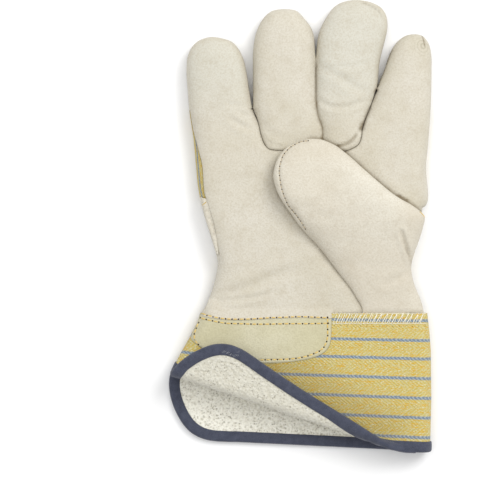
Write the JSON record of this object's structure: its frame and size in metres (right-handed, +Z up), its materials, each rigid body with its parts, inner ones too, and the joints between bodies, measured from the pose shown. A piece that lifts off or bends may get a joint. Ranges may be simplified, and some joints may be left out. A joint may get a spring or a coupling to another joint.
{
  "type": "fitters glove",
  "caption": "Right-hand leather-palm work glove with striped canvas back and stiff safety cuff, lying palm up with the thumb over the palm and one cuff corner folded back.",
  "frame": {"origin": "on the table under the middle of the glove's outline as it lies on its back", "axes": "+Y towards the finger tips, +X towards the thumb side, +Z up out of the palm"},
  "size_m": [0.1549, 0.264, 0.0329],
  "materials": {
    "palm_hide": "matt grain",
    "trim_hide": "matt grain",
    "patch_hide": "matt grain",
    "striped_canvas": "herringbone weave with blue stripes",
    "knit_lining": "open jersey knit",
    "binding_tape": "twill tape"
  },
  "bodies": {
    "root": {"palm_leather": "palm_hide", "middle_fingers_front": "palm_hide", "thumb_front": "palm_hide", "thumb_back": "palm_hide", "back_canvas": "striped_canvas", "pinky_tip_cap": "trim_hide", "ring_tip_cap": "trim_hide", "middle_tip_cap": "trim_hide", "index_tip_cap": "trim_hide", "knuckle_strap": "trim_hide", "vein_patch": "patch_hide", "cuff_canvas": "striped_canvas", "cuff_lining": "knit_lining", "cuff_binding": "binding_tape"}
  },
  "joints": []
}
